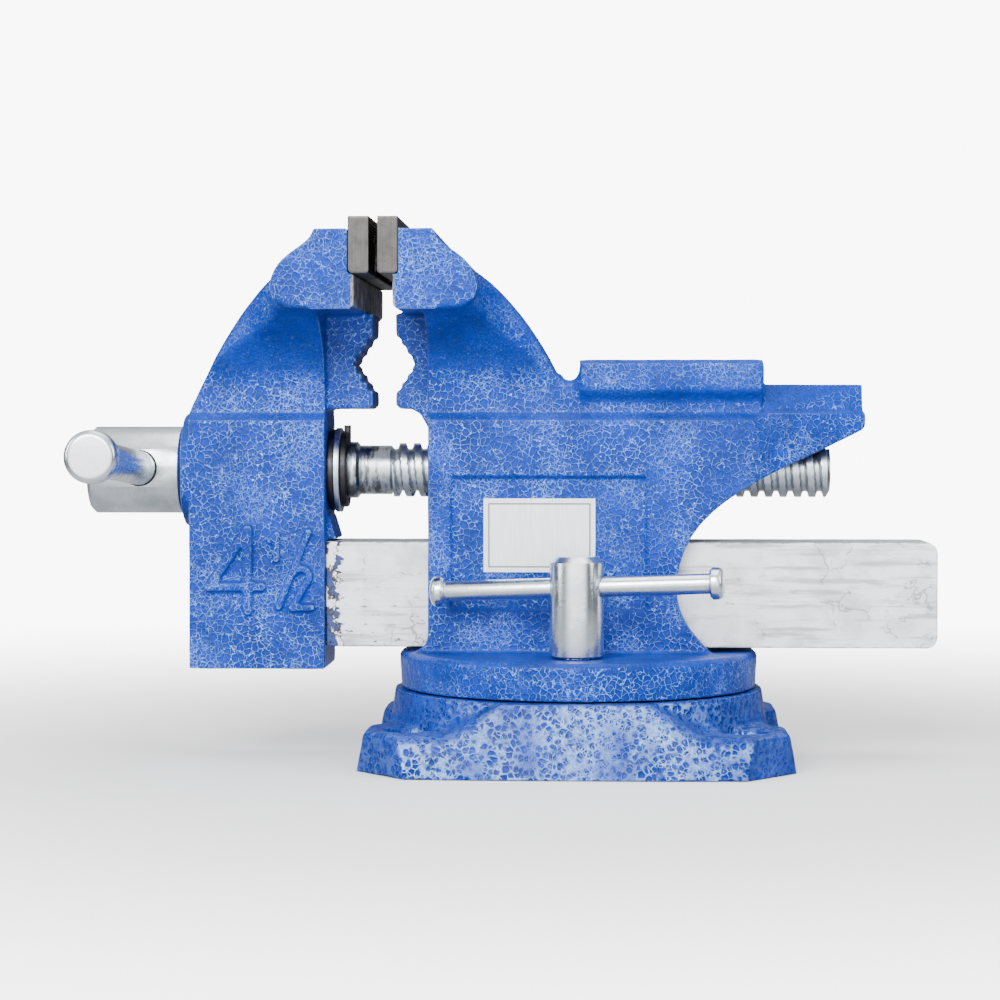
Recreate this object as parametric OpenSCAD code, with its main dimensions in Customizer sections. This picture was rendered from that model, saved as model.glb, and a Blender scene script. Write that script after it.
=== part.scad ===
// Swivel-base bench vise. X runs from the handle to the anvil horn, Z is up from the bench.
// The origin is on the swivel axis at bench level. All sizes are in millimetres.

/* [Jaws] */
// Width of the jaws
jaw_w = 114.3; // [95:0.1:150]
// Gap between the two jaw plates as drawn
jaw_gap = 2.5; // [1:0.1:5]
// Distance from the swivel axis forward to the middle of the jaw gap
jaw_reach = 67.85; // [64:0.05:85]
// Height of the jaw castings above the ledge on the body
neck_h = 64; // [60:0.1:90]
// Height of the side lobes behind the jaw plates
lobe_h = 27.2; // [24:0.1:30]
// Depth of the side lobes behind the jaw gap
lobe_d = 35; // [31:0.1:40]
// Thickness of a jaw plate
plate_t = 7.2; // [6:0.1:9]
// Height of a jaw plate
plate_h = 19.1; // [16:0.1:23]
// How far a jaw plate stands above its casting
plate_proud = 4; // [2:0.1:6]
// Distance between the two screws of a jaw plate
plate_screw_span = 60; // [40:1:76]

/* [Pipe jaws] */
// Width of the pipe jaw blocks
pipe_w = 26; // [18:0.5:30]
// Distance from the middle of the gap to a pipe jaw's face
pipe_face = 3.9; // [3:0.1:5]
// Depth of the vee in a pipe jaw
vee_d = 7.6; // [5:0.1:8.5]
// Height of the vee's mouth
vee_h = 23.5; // [16:0.1:24]

/* [Front jaw] */
// Width of the front jaw's lower block
block_w = 36; // [32:0.5:48]
// Distance from the middle of the jaw gap to the front of the lower block
block_reach = 68.5; // [64:0.1:76]
// Distance from the middle of the jaw gap to the back of the lower block
block_back = 20.45; // [19:0.05:24]
// How far the lower block hangs below the slide bar
block_drop = 7.8; // [4:0.1:10]

/* [Body] */
// Width of the vise body
body_w = 44; // [42:0.5:56]
// Distance from the middle of the jaw gap to the body's front face
body_set = 15.75; // [14:0.05:19]
// Width of the ledge above the body and the lower block
ledge = 2.2; // [1.5:0.1:3]
// Length of the anvil
anvil_l = 64; // [54:0.5:76]
// Width of the anvil
anvil_w = 48; // [46:0.5:60]
// Thickness of the anvil
anvil_t = 11; // [9:0.1:13]
// How far the horn reaches past the anvil
horn_l = 35; // [24:0.5:44]
// Depth of the panels sunk in the body's sides
panel_d = 1.2; // [0.8:0.1:2]

/* [Slide bar] */
// Width of the slide bar
bar_w = 30; // [24:0.5:32]
// Height of the slide bar
bar_h = 37; // [30:0.5:45]
// Distance from the swivel axis back to the slide bar's end
bar_back = 125.3; // [110:0.1:150]

/* [Lead screw] */
// Outer diameter of the screw thread
screw_d = 19.2; // [16:0.1:24]
// Pitch of the screw thread
screw_pitch = 5.08; // [4:0.01:6.5]
// Height of the screw's axis above the slide bar
screw_rise = 24.9; // [24:0.1:32]
// Distance from the swivel axis back to the screw's end
screw_back = 88.5; // [75:0.1:105]
// Diameter of the screw's head
head_d = 30.8; // [30:0.1:36]
// Length of the screw's head
head_l = 33.4; // [24:0.1:40]

/* [Handles] */
// Diameter of the handle bar
handle_d = 12; // [9:0.1:13]
// Length of the handle with its knobs
handle_l = 165; // [130:1:200]
// Distance from the screw's axis to the near end of the handle
handle_near = 104; // [84:1:110]
// Tilt of the handle, near end raised
handle_tilt = 3.2; // [-10:0.1:10]
// Diameter of the lock nut's bar
lock_bar_d = 7; // [5:0.1:8]
// Length of the lock nut's bar with its knobs
lock_bar_l = 101; // [80:1:110]

/* [Swivel] */
// Diameter of the swivel plate
swivel_d = 126.6; // [116:0.1:160]
// Thickness of the swivel plate
swivel_t = 13; // [11:0.1:18]
// Diameter of the lock nut
lock_nut_d = 18.5; // [17:0.1:22]
// Height of the lock nut
lock_nut_h = 34.6; // [30:0.1:40]
// Diameter of the pivot bolt
pivot_d = 12; // [10:0.1:14]
// Diameter of the lock bolt
lock_bolt_d = 10; // [8:0.1:11]

/* [Base] */
// Height of the base
base_h = 24.7; // [22:0.1:32]
// Thickness of the corner lugs
lug_t = 14.2; // [10:0.1:17]
// Thickness of the deck that the swivel plate turns on
deck_t = 10; // [8:0.1:11]
// Distance between the bolt holes along the vise
bolt_x = 114; // [108:0.5:150]
// Distance between the bolt holes across the vise
bolt_y = 92; // [88:0.5:130]
// Diameter of the bolt holes
bolt_hole_d = 14; // [9:0.1:16]

/* [Hidden] */
$fn = 64;

// Clearances
swivel_gap = 0.3;
slide_gap = 0.3;
fit_gap = 0.1;
seat_gap = 0.05;
eps = 0.5;

// Colours
paint = "royalblue";
zinc = [0.74, 0.77, 0.80];
steel = [0.50, 0.49, 0.47];
black_steel = [0.12, 0.12, 0.13];

// Heights above the bench
swivel_z = base_h + swivel_gap;
plate_top = swivel_z + swivel_t;
bar_z = plate_top + 1.4;
bar_top = bar_z + bar_h;
screw_z = bar_top + screw_rise;
ledge_z = screw_z + 17.7;
jaw_top = ledge_z + neck_h;
lobe_z = jaw_top - lobe_h;
plate_z = jaw_top + plate_proud - plate_h;
deck_z = base_h - deck_t;
anvil_top = ledge_z + 21;
anvil_z = anvil_top - anvil_t;
horn_top = ledge_z + 12.5;

// Places along X
front_face = -jaw_reach - block_back;
body_front = -jaw_reach + body_set;
anvil_x = body_front + 52.7;
anvil_end = anvil_x + anvil_l;
horn_end = anvil_end + horn_l;

// Jaw plate and its screws
seat = jaw_gap / 2 + plate_t;
throat = seat - 2;
screw_head_r = 6;
screw_head_h = 4.2;
screw_r = 4;
screw_grip = 11;

// Lead screw
journal_r = screw_d / 2 + 0.4;
shaft_r = screw_d / 2 - 0.9;
root_r = screw_d / 2 - 2.1;
nut_r = screw_d / 2 + 5.4;
nut_l = 25;
boss_r = journal_r + 10;
boss_h = 3.1;
head_x = -jaw_reach - block_reach - boss_h - swivel_gap;
ring_t = 2.1;
clip_t = 2.2;
clip_x = front_face + swivel_gap + 2 * ring_t;
journal_end = clip_x + clip_t + 4.3;
thread_x = journal_end + 12;

// Handle and lock bar
knob_d = handle_d + 5.3;
knob_l = 7;
lock_knob_d = lock_bar_d + 4;
lock_knob_l = 4.7;
lock_bar_z = plate_top + 24;
lock_bar_yaw = -9;
lock_bar_tilt = 2.3;

// Slide bar's tenon, held in the front jaw by two pins
tenon_w = bar_w - 10;
tenon_h = bar_h - 10;
tenon_l = 26;
pin_r = 3;

// Base
base_r = swivel_d / 2 + 1.7;
lock_r = mix(body_w / 2 + lock_nut_d / 2, base_r, 0.2889);
cavity_r = lock_r + lock_bolt_d + 4;
deck_flare = 3.5;
pad = 17.5;
foot_x = bolt_x / 2 + pad;
foot_y = bolt_y / 2 + 27;
draft = 7;
slot_half_angle = 120;

function mix(a, b, t) = a + (b - a) * t;
function bezier(a, b, c, d, n = 12) = [
    for (i = [0:n])
        let (t = i / n, s = 1 - t)
            s * s * s * a + 3 * s * s * t * b + 3 * s * t * t * c + t * t * t * d
];
function arc(centre, r, from, to, n = 8) = [
    for (i = [0:n])
        let (a = mix(from, to, i / n))
            centre + r * [cos(a), sin(a)]
];
function mirrored(points) = concat(points,
    [for (i = [len(points) - 1:-1:0]) [-points[i][0], points[i][1]]]);

// An outline in X and Z, extruded to a width across the vise
module side_extrude(w) {
    rotate([90, 0, 0]) translate([0, 0, -w / 2]) linear_extrude(w) children();
}

// An outline in Y and Z, extruded along X from x0 to x1
module long_extrude(x0, x1) {
    translate([x0, 0, 0]) rotate([90, 0, 90]) linear_extrude(x1 - x0) children();
}

// A cylinder along X from x0 to x1, at the height of the lead screw
module on_screw(r, x0, x1) {
    translate([x0, 0, screw_z]) rotate([0, 90, 0]) cylinder(r = r, h = x1 - x0);
}

// The two jaws are drawn with X running from the middle of the gap into the casting
module at_rear() {
    translate([-jaw_reach, 0, 0]) children();
}

module at_front() {
    translate([-jaw_reach, 0, 0]) mirror([1, 0, 0]) children();
}

// ---- Jaw heads ----

lobe_r = 8;
lobe_top_d = seat + 11.7;
lobe_outline = concat(
    [[seat, plate_z], [seat, jaw_top]],
    bezier([lobe_top_d, jaw_top], [lobe_top_d + 1, jaw_top - 7],
        [lobe_d - 1.5, jaw_top - 7], [lobe_d, lobe_z + lobe_r]),
    arc([lobe_d - lobe_r, lobe_z + lobe_r], lobe_r, -10, -90),
    [[throat + 1.5, lobe_z], [throat, lobe_z + 1.5], [throat, plate_z]]);

// The arm carries the head on its neck: back is the neck's inner face, reach its outer foot
function arm_outline(back, reach, foot_z, bow) =
    let (u = lobe_d - 1.5, z = lobe_z + lobe_r + 5.7)
        concat([[back, ledge_z - eps], [back, lobe_z + 2], [seat + 2, lobe_z + 2], [seat + 2, z]],
            bezier([u, z], [mix(u, reach, 0.3), mix(z, foot_z, 0.11) + bow],
                [mix(u, reach, 0.77), mix(z, foot_z, 0.6) + bow], [reach, foot_z]),
            [[reach, ledge_z - eps]]);

// Concave webs run down from under the lobes to the neck
web_z = mix(ledge_z, lobe_z, 0.25);
function web_outline(neck) = mirrored(concat(
    [[neck / 2, ledge_z - eps]],
    [for (i = [0:10])
        let (a = 90 * i / 10)
            [mix(jaw_w / 2 - 5, neck / 2, cos(a)), mix(web_z, lobe_z, sin(a))]],
    [[jaw_w / 2 - 5, jaw_top]]));

// Seen from above, the head sweeps from the lobe ends into the neck
function sweep_outline(neck, reach) =
    let (curve = bezier([lobe_d - 1, jaw_w / 2 - 9], [lobe_d + 1, jaw_w / 2 - 26],
        [mix(lobe_d, reach, 0.35), neck / 2 + 7], [reach + 1, neck / 2]))
        concat([[0, -jaw_w / 2], [lobe_d - 8, -jaw_w / 2]],
            [for (p = curve) [p[0], -p[1]]],
            [for (i = [len(curve) - 1:-1:0]) curve[i]],
            [[lobe_d - 8, jaw_w / 2], [0, jaw_w / 2]]);

module jaw_head(back, reach, foot_z, bow, neck) {
    side_extrude(jaw_w) polygon(lobe_outline);
    intersection() {
        side_extrude(jaw_w) polygon(arm_outline(back, reach, foot_z, bow));
        long_extrude(0, reach + 1) polygon(web_outline(neck));
        translate([0, 0, ledge_z - eps]) linear_extrude(neck_h + eps)
            polygon(sweep_outline(neck, reach));
    }
    side_extrude(pipe_w) polygon(pipe_outline(back));
}

// The pipe jaw is a block with a toothed vee
pipe_z = ledge_z + 3.8;
vee_z = mix(pipe_z, lobe_z, 0.48);
teeth = 4;
function flank(side) = [
    for (i = [0:teeth - 1])
        let (t = i / teeth, u = pipe_face + vee_d * t, z = vee_z + side * vee_h / 2 * (1 - t))
            each [[u, z], [u + 0.15 * vee_d / teeth, z - side * 0.37 * vee_h / teeth]]
];
function pipe_outline(back) =
    let (lower = flank(-1), upper = flank(1))
        concat([[back + eps, pipe_z], [pipe_face + 1.5, pipe_z], [pipe_face, pipe_z + 1.5]],
            lower, [[pipe_face + vee_d, vee_z]],
            [for (i = [len(upper) - 1:-1:0]) upper[i]],
            [[pipe_face, lobe_z + eps], [back + eps, lobe_z + eps]]);

// Holes for the screws that hold a jaw plate on its seat
module plate_screw_places() {
    for (side = [-1, 1])
        translate([0, side * plate_screw_span / 2, plate_z + 8]) rotate([0, 90, 0]) children();
}

module plate_screw_holes() {
    plate_screw_places() translate([0, 0, throat - eps])
        cylinder(r = screw_r + seat_gap, h = seat + screw_grip - throat + 2 * eps);
}

module jaw_plate() {
    color(steel) difference() {
        side_extrude(jaw_w) polygon([
            [jaw_gap / 2, plate_z + 0.8], [jaw_gap / 2 + 0.8, plate_z], [seat - 1, plate_z],
            [seat, plate_z + 1], [seat, plate_z + plate_h], [jaw_gap / 2, plate_z + plate_h]]);
        plate_screw_places() {
            translate([0, 0, jaw_gap / 2 - eps])
                cylinder(r = screw_head_r + 0.2, h = screw_head_h + 0.8 + eps);
            cylinder(r = screw_r + 0.2, h = seat + eps);
        }
    }
}

module jaw_screws() {
    color(black_steel) plate_screw_places() difference() {
        union() {
            translate([0, 0, jaw_gap / 2 + 0.8]) cylinder(r = screw_head_r, h = screw_head_h);
            translate([0, 0, jaw_gap / 2 + 0.8 + screw_head_h - seat_gap])
                cylinder(r = screw_r, h = seat + screw_grip - jaw_gap / 2 - 0.8 - screw_head_h);
        }
        translate([0, 0, jaw_gap / 2]) cylinder(r = 2.9, h = 3.3, $fn = 6);
    }
}

module front_jaw_plate() {
    at_front() jaw_plate();
}

module rear_jaw_plate() {
    at_rear() jaw_plate();
}

module front_jaw_screws() {
    at_front() jaw_screws();
}

module rear_jaw_screws() {
    at_rear() jaw_screws();
}

// ---- Front jaw ----

// A straight stroke with round ends, for the raised size mark
module stroke(a, b, w = 3.2) {
    turn = atan2(b[1] - a[1], b[0] - a[0]);
    polygon(concat(arc(a, w / 2, turn + 90, turn + 270, 6), arc(b, w / 2, turn - 90, turn + 90, 6)));
}

// Bowl of the small two, from its left end round to its right end
module bowl(centre, r, w) {
    polygon(concat(arc(centre, r + w / 2, 170, -30), arc(centre, r - w / 2, -30, 170)));
}

// The jaw width in inches, raised on both sides of the lower block
module size_mark(h) {
    linear_extrude(h) {
        stroke([-3.1, 1.8], [-3.1, 30.3]);
        stroke([-3.1, 30.3], [-16.5, 10.3]);
        stroke([-16.7, 10.1], [1.8, 10.2]);
        stroke([7, 19.8], [7.1, 28.5], 2.4);
        stroke([7, 28.4], [4.9, 26.4], 2.4);
        stroke([7.9, 3.3], [18.3, 29.4], 2.4);
        bowl([15.7, 13.8], 2.9, 2.4);
        stroke([18.2, 12.5], [12.6, 3.1], 2.3);
        stroke([12.5, 2.9], [19.3, 3], 2.4);
    }
}

module front_jaw() {
    mark_h = 1.5;
    color(paint) difference() {
        union() {
            at_front() jaw_head(block_back, block_reach + 1, ledge_z, 2, block_w - 2 * ledge);
            long_extrude(-jaw_reach - block_reach, front_face) polygon(mirrored([
                [block_w / 2, bar_z - block_drop], [block_w / 2, ledge_z],
                [block_w / 2 - ledge, ledge_z + 2.5]]));
            intersection() {
                on_screw(boss_r, -jaw_reach - block_reach - boss_h, -jaw_reach - block_reach + eps);
                translate([-2 * jaw_reach - block_reach, -block_w / 2, 0])
                    cube([2 * jaw_reach, block_w, jaw_top]);
            }
            side_extrude(bar_w - 6) polygon([
                [front_face - eps, bar_top + 0.5], [front_face + 3.5, bar_top + 0.5],
                [front_face + 1, bar_top + 9], [front_face - eps, bar_top + 9]]);
            for (side = [0, 180])
                translate([-jaw_reach - (block_reach + block_back) / 2, 0, bar_z + 11]) rotate([0, 0, side])
                    translate([0, -block_w / 2 + seat_gap, 0]) rotate([90, 0, 0])
                        size_mark(mark_h + seat_gap);
        }
        on_screw(journal_r + fit_gap, head_x - 1, front_face + 1);
        at_front() plate_screw_holes();
        translate([front_face - tenon_l, -tenon_w / 2 - seat_gap, bar_z + 5 - seat_gap])
            cube([tenon_l + eps, tenon_w + 2 * seat_gap, tenon_h + 2 * seat_gap]);
        tenon_pin_places() cylinder(r = pin_r + seat_gap, h = block_drop + bar_h - 8);
    }
}

module slide_bar() {
    color([0.86, 0.88, 0.90]) difference() {
        union() {
            side_extrude(bar_w) polygon(concat(
                [[front_face + seat_gap, bar_z]],
                arc([bar_back - 4, bar_z + 4], 4, -90, 0, 6),
                arc([bar_back - 4, bar_top - 4], 4, 0, 90, 6),
                [[front_face + seat_gap, bar_top]]));
            translate([front_face - tenon_l + seat_gap, -tenon_w / 2, bar_z + 5])
                cube([tenon_l + 1, tenon_w, tenon_h]);
        }
        tenon_pin_places() cylinder(r = pin_r + seat_gap, h = block_drop + bar_h - 8);
    }
}

module tenon_pin_places() {
    for (step = [0.3, 0.75])
        translate([front_face - tenon_l * step, 0, bar_z - block_drop]) children();
}

module slide_bar_pins() {
    color(zinc) tenon_pin_places() translate([0, 0, eps]) difference() {
        cylinder(r = pin_r, h = block_drop + bar_h - 9);
        translate([0, 0, -eps]) cylinder(r = pin_r / 2, h = block_drop + bar_h);
    }
}

// ---- Vise body ----

foot_d = 6.4;
waist_x = body_front + 86.7;
body_outline = concat(
    [[body_front - foot_d, plate_top - eps], [body_front - foot_d, plate_top]],
    arc([body_front - foot_d, plate_top + foot_d], foot_d, -90, 0, 6),
    [[body_front, ledge_z + 2.5], [horn_end + 1, ledge_z + 2.5], [horn_end + 1, ledge_z - 2]],
    bezier([horn_end, ledge_z - 3.5], [mix(waist_x, horn_end, 0.57), ledge_z - 18],
        [waist_x + 1.4, ledge_z - 27], [waist_x, plate_top + 24], 14),
    bezier([waist_x, plate_top + 22], [waist_x + 0.3, plate_top + 12],
        [waist_x + 5.4, plate_top + 7], [waist_x + 12, plate_top], 8),
    [[waist_x + 12, plate_top - eps]]);

// Seen from above, the body is straight to the end of the anvil and the horn tapers
horn_w = 18;
body_plan = [[-jaw_reach, -body_w / 2], [anvil_end - 4, -body_w / 2], [horn_end + 2, -horn_w / 2],
    [horn_end + 2, horn_w / 2], [anvil_end - 4, body_w / 2], [-jaw_reach, body_w / 2]];

module horn_slab(x, half, top_half) {
    long_extrude(x, x + 1) polygon(mirrored([[half, ledge_z], [half, ledge_z + 2], [top_half, horn_top]]));
}

module horn() {
    hull() {
        horn_slab(anvil_end - 6, body_w / 2 - ledge, body_w / 2 - 8);
        horn_slab(horn_end - 1, horn_w / 2, horn_w / 2 - 3);
    }
}

pocket_x = anvil_x - 3.4;
neck_top = ledge_z + 16.2;

module anvil() {
    neck = body_w - 2 * ledge;
    difference() {
        side_extrude(neck) polygon([[body_front, ledge_z], [anvil_end - 1, ledge_z],
            [anvil_end - 1, anvil_z], [anvil_x + 1, anvil_z], [anvil_x + 1, neck_top],
            [body_front, neck_top]]);
        translate([pocket_x, 0, ledge_z + 16.6]) rotate([90, 0, 0])
            cylinder(r = 3, h = anvil_w, center = true);
    }
    difference() {
        long_extrude(anvil_x, anvil_end) polygon(mirrored([
            [neck / 2, anvil_z - 3.4], [anvil_w / 2, anvil_z], [anvil_w / 2, anvil_top]]));
        translate([pocket_x, 0, ledge_z + 16.6]) rotate([90, 0, 0])
            cylinder(r = 3, h = 2 * anvil_w, center = true);
    }
}

module swivel_plate() {
    r = swivel_d / 2;
    rotate_extrude() polygon([[0, swivel_z], [r - 0.6, swivel_z], [r, plate_top - 1.6],
        [r - 1.4, plate_top], [0, plate_top]]);
}

panel_x0 = body_front + 8.2;
panel_l = 67.9;
panel_z0 = plate_top + 14.8;
panel_h = screw_z - 2 - panel_z0;
set_screw_x = body_front + 1 + nut_l / 2;
set_screw_r = 3;

module vise_body() {
    color(paint) difference() {
        union() {
            swivel_plate();
            intersection() {
                side_extrude(body_w) polygon(body_outline);
                long_extrude(-jaw_reach, horn_end + 2) polygon(mirrored([
                    [body_w / 2, plate_top - eps], [body_w / 2, ledge_z],
                    [body_w / 2 - ledge, ledge_z + 2.5]]));
                linear_extrude(jaw_top) polygon(body_plan);
            }
            at_rear() jaw_head(body_set, body_set + 44.75, neck_top, 0, body_w - 2 * ledge);
            anvil();
            horn();
            side_extrude(pipe_w) polygon([[body_front - 6.5, pipe_z], [body_front + eps, pipe_z],
                [body_front + eps, pipe_z - 7.5], [body_front, pipe_z - 7.5],
                [body_front - 3.2, pipe_z - 1.8]]);
        }
        translate([-jaw_reach, -bar_w / 2 - slide_gap, bar_z - slide_gap])
            cube([2 * jaw_reach + bar_back, bar_w + 2 * slide_gap, bar_h + 2 * slide_gap]);
        on_screw(screw_d / 2 + 1.4, -jaw_reach, horn_end + 5);
        on_screw(nut_r + seat_gap, -jaw_reach, body_front + nut_l + 1);
        at_rear() plate_screw_holes();
        for (side = [-1, 1])
            translate([panel_x0, side * body_w / 2 - panel_d, panel_z0])
                cube([panel_l, 2 * panel_d, panel_h]);
        translate([set_screw_x, 0, screw_z]) rotate([-90, 0, 0])
            cylinder(r = set_screw_r + seat_gap, h = body_w);
        translate([0, 0, swivel_z - eps]) cylinder(r = pivot_d / 2 + seat_gap, h = swivel_t - 1);
        translate([0, -lock_r, swivel_z - eps]) cylinder(r = lock_bolt_d / 2 + fit_gap, h = swivel_t + 1);
    }
}

label_w = 38.8;
label_h = 25.6;
label_t = 0.4;

module label_plate() {
    color([0.82, 0.84, 0.86])
        translate([body_front + 19.5, -body_w / 2 + panel_d - label_t, plate_top + 28.1])
            cube([label_w, label_t, label_h]);
}

module spindle_nut() {
    color([0.45, 0.45, 0.46]) difference() {
        on_screw(nut_r, body_front + 1, body_front + 1 + nut_l);
        on_screw(screw_d / 2 + fit_gap, body_front - 1, body_front + nut_l + 3);
    }
}

module nut_set_screw() {
    tip = nut_r + 0.1;
    color(black_steel) translate([set_screw_x, 0, screw_z]) rotate([-90, 0, 0]) difference() {
        translate([0, 0, tip]) cylinder(r = set_screw_r, h = body_w / 2 - panel_d - 0.4 - tip);
        translate([0, 0, body_w / 2 - panel_d - 3]) cylinder(r = 1.7, h = 4, $fn = 6);
    }
}

// ---- Lead screw ----

threads = floor((screw_back - thread_x - 1) / screw_pitch);

module along_handle() {
    translate([head_x - head_l * 0.435, 0, screw_z]) rotate([-handle_tilt, 0, 0])
        rotate([-90, 0, 0]) children();
}

module lead_screw() {
    color(zinc) difference() {
        translate([0, 0, screw_z]) rotate([0, 90, 0]) rotate_extrude() polygon(concat(
            [[0, head_x - head_l], [head_d / 2 - 1.5, head_x - head_l], [head_d / 2, head_x - head_l + 1.5],
                [head_d / 2, head_x - 1], [head_d / 2 - 1, head_x], [journal_r, head_x],
                [journal_r, clip_x], [journal_r - 1.6, clip_x], [journal_r - 1.6, clip_x + clip_t],
                [journal_r, clip_x + clip_t], [journal_r, journal_end - 1], [shaft_r, journal_end],
                [shaft_r, thread_x - 1], [root_r, thread_x]],
            [for (i = [0:threads - 1])
                each [for (p = [[0.30, root_r], [0.42, screw_d / 2], [0.74, screw_d / 2], [0.86, root_r]])
                    [p[1], thread_x + (i + p[0]) * screw_pitch]]],
            [[root_r, screw_back - 1], [root_r - 1, screw_back], [0, screw_back]]));
        along_handle() cylinder(r = handle_d / 2 + 0.4, h = 2 * head_d, center = true);
    }
}

module washer_on_screw(r, x, t, bore) {
    difference() {
        on_screw(r, x, x + t);
        on_screw(bore, x - 1, x + t + 1);
    }
}

module spacer_ring() {
    color(black_steel) washer_on_screw(head_d / 2 - 1, front_face + swivel_gap, ring_t - seat_gap,
        journal_r + 0.2);
}

module thrust_washer() {
    color(zinc) washer_on_screw(head_d / 2 - 0.4, front_face + swivel_gap + ring_t, ring_t - seat_gap,
        journal_r + 0.2);
}

// An open ring with a removal ear, sprung into the journal's groove
module retaining_ring() {
    r = journal_r + 3.4;
    color(black_steel) difference() {
        union() {
            on_screw(r, clip_x + seat_gap, clip_x + clip_t - seat_gap);
            translate([clip_x + seat_gap, 4, screw_z + 7]) cube([clip_t - 2 * seat_gap, 5, r - 4.5]);
        }
        on_screw(journal_r - 1.55, clip_x - 1, clip_x + clip_t + 1);
        translate([clip_x - 1, -2.5, screw_z - r - 1]) cube([clip_t + 2, 5, r]);
    }
}

// ---- Handle ----

// A round-topped knob pressed over the end of a bar
module knob(d, h, bar_r) {
    r = d / 2;
    color(zinc) difference() {
        rotate_extrude() polygon(concat(
            [[0, 0], [r - 0.8, 0], [r, 0.8], [r, h - 2.4]],
            arc([r - 2.4, h - 2.4], 2.4, 10, 90, 6),
            [[0, h]]));
        translate([0, 0, -eps]) cylinder(r = bar_r + seat_gap, h = h * 0.6 + eps);
    }
}

module handle_bar() {
    grip = knob_l * 0.6 - seat_gap;
    color(zinc) along_handle() translate([0, 0, knob_l - handle_near - grip])
        cylinder(r = handle_d / 2, h = handle_l - 2 * knob_l + 2 * grip);
}

module handle_knob_near() {
    along_handle() translate([0, 0, knob_l - handle_near]) rotate([180, 0, 0])
        knob(knob_d, knob_l, handle_d / 2);
}

module handle_knob_far() {
    along_handle() translate([0, 0, handle_l - handle_near - knob_l]) knob(knob_d, knob_l, handle_d / 2);
}

// ---- Swivel lock ----

module along_lock_bar() {
    translate([0, -lock_r, lock_bar_z]) rotate([0, 0, lock_bar_yaw])
        rotate([0, 90 - lock_bar_tilt, 0]) children();
}

module lock_nut() {
    r = lock_nut_d / 2;
    z0 = plate_top + slide_gap;
    top = plate_top + lock_nut_h;
    color(zinc) difference() {
        translate([0, -lock_r, 0]) rotate_extrude() polygon([[0, z0], [r - 0.6, z0], [r, z0 + 0.6],
            [r, top - 2], [r - 2, top], [0, top]]);
        translate([0, -lock_r, z0 - eps]) cylinder(r = lock_bolt_d / 2 + fit_gap, h = 18.5);
        along_lock_bar() cylinder(r = lock_bar_d / 2 + 0.4, h = 2 * lock_nut_d, center = true);
    }
}

module lock_bar() {
    grip = lock_knob_l * 0.6 - seat_gap;
    color(zinc) along_lock_bar() cylinder(r = lock_bar_d / 2,
        h = lock_bar_l - 2 * lock_knob_l + 2 * grip, center = true);
}

module lock_bar_knob_left() {
    along_lock_bar() translate([0, 0, lock_knob_l - lock_bar_l / 2]) rotate([180, 0, 0])
        knob(lock_knob_d, lock_knob_l, lock_bar_d / 2);
}

module lock_bar_knob_right() {
    along_lock_bar() translate([0, 0, lock_bar_l / 2 - lock_knob_l])
        knob(lock_knob_d, lock_knob_l, lock_bar_d / 2);
}

lock_head_h = 5;
washer_t = 2.2;

module lock_bolt() {
    head_z = deck_z - slide_gap - washer_t - lock_head_h;
    color(zinc) translate([0, -lock_r, 0]) {
        translate([0, 0, head_z]) cylinder(r = lock_bolt_d * 0.92, h = lock_head_h - seat_gap, $fn = 6);
        translate([0, 0, head_z + 1]) cylinder(r = lock_bolt_d / 2, h = plate_top + 17 - head_z - 1);
    }
}

module flat_washer(z, r, bore) {
    color(zinc) translate([0, 0, z]) difference() {
        cylinder(r = r, h = washer_t - seat_gap);
        translate([0, 0, -1]) cylinder(r = bore, h = washer_t + 2);
    }
}

module lock_washer() {
    translate([0, -lock_r, 0])
        flat_washer(deck_z - slide_gap - washer_t, lock_bolt_d, lock_bolt_d / 2 + 0.3);
}

pivot_head_h = 6.5;

module pivot_bolt() {
    head_z = deck_z - slide_gap - washer_t - pivot_head_h;
    color(zinc) {
        translate([0, 0, head_z]) cylinder(r = pivot_d * 0.9, h = pivot_head_h - seat_gap, $fn = 6);
        translate([0, 0, head_z + 1]) cylinder(r = pivot_d / 2, h = plate_top - 2.5 - head_z - 1);
    }
}

module pivot_washer() {
    flat_washer(deck_z - slide_gap - washer_t, pivot_d, pivot_d / 2 + 0.3);
}

// ---- Base ----

lug_back = bolt_y / 2 - 14;
foot_outline = [[27, foot_y], [bolt_x / 2, foot_y - 1.5], [foot_x, bolt_y / 2 + 4], [foot_x, lug_back],
    [foot_x - 8, lug_back - 10], [foot_x - 8, 10 - lug_back], [foot_x, -lug_back],
    [foot_x, -bolt_y / 2 - 4], [bolt_x / 2, 1.5 - foot_y], [27, -foot_y]];

// Curved slot that lets the lock bolt pass as the vise swivels
module lock_slot() {
    half_w = lock_bolt_d / 2 + slide_gap;
    start = -90 - slot_half_angle;
    end = slot_half_angle - 90;
    linear_extrude(base_h + 1) polygon(concat(
        arc([0, 0], lock_r + half_w, start, end, 48),
        arc(lock_r * [cos(end), sin(end)], half_w, end + 20, end + 160),
        arc([0, 0], lock_r - half_w, end, start, 48),
        arc(lock_r * [cos(start), sin(start)], half_w, start + 200, start + 340)));
}

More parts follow.
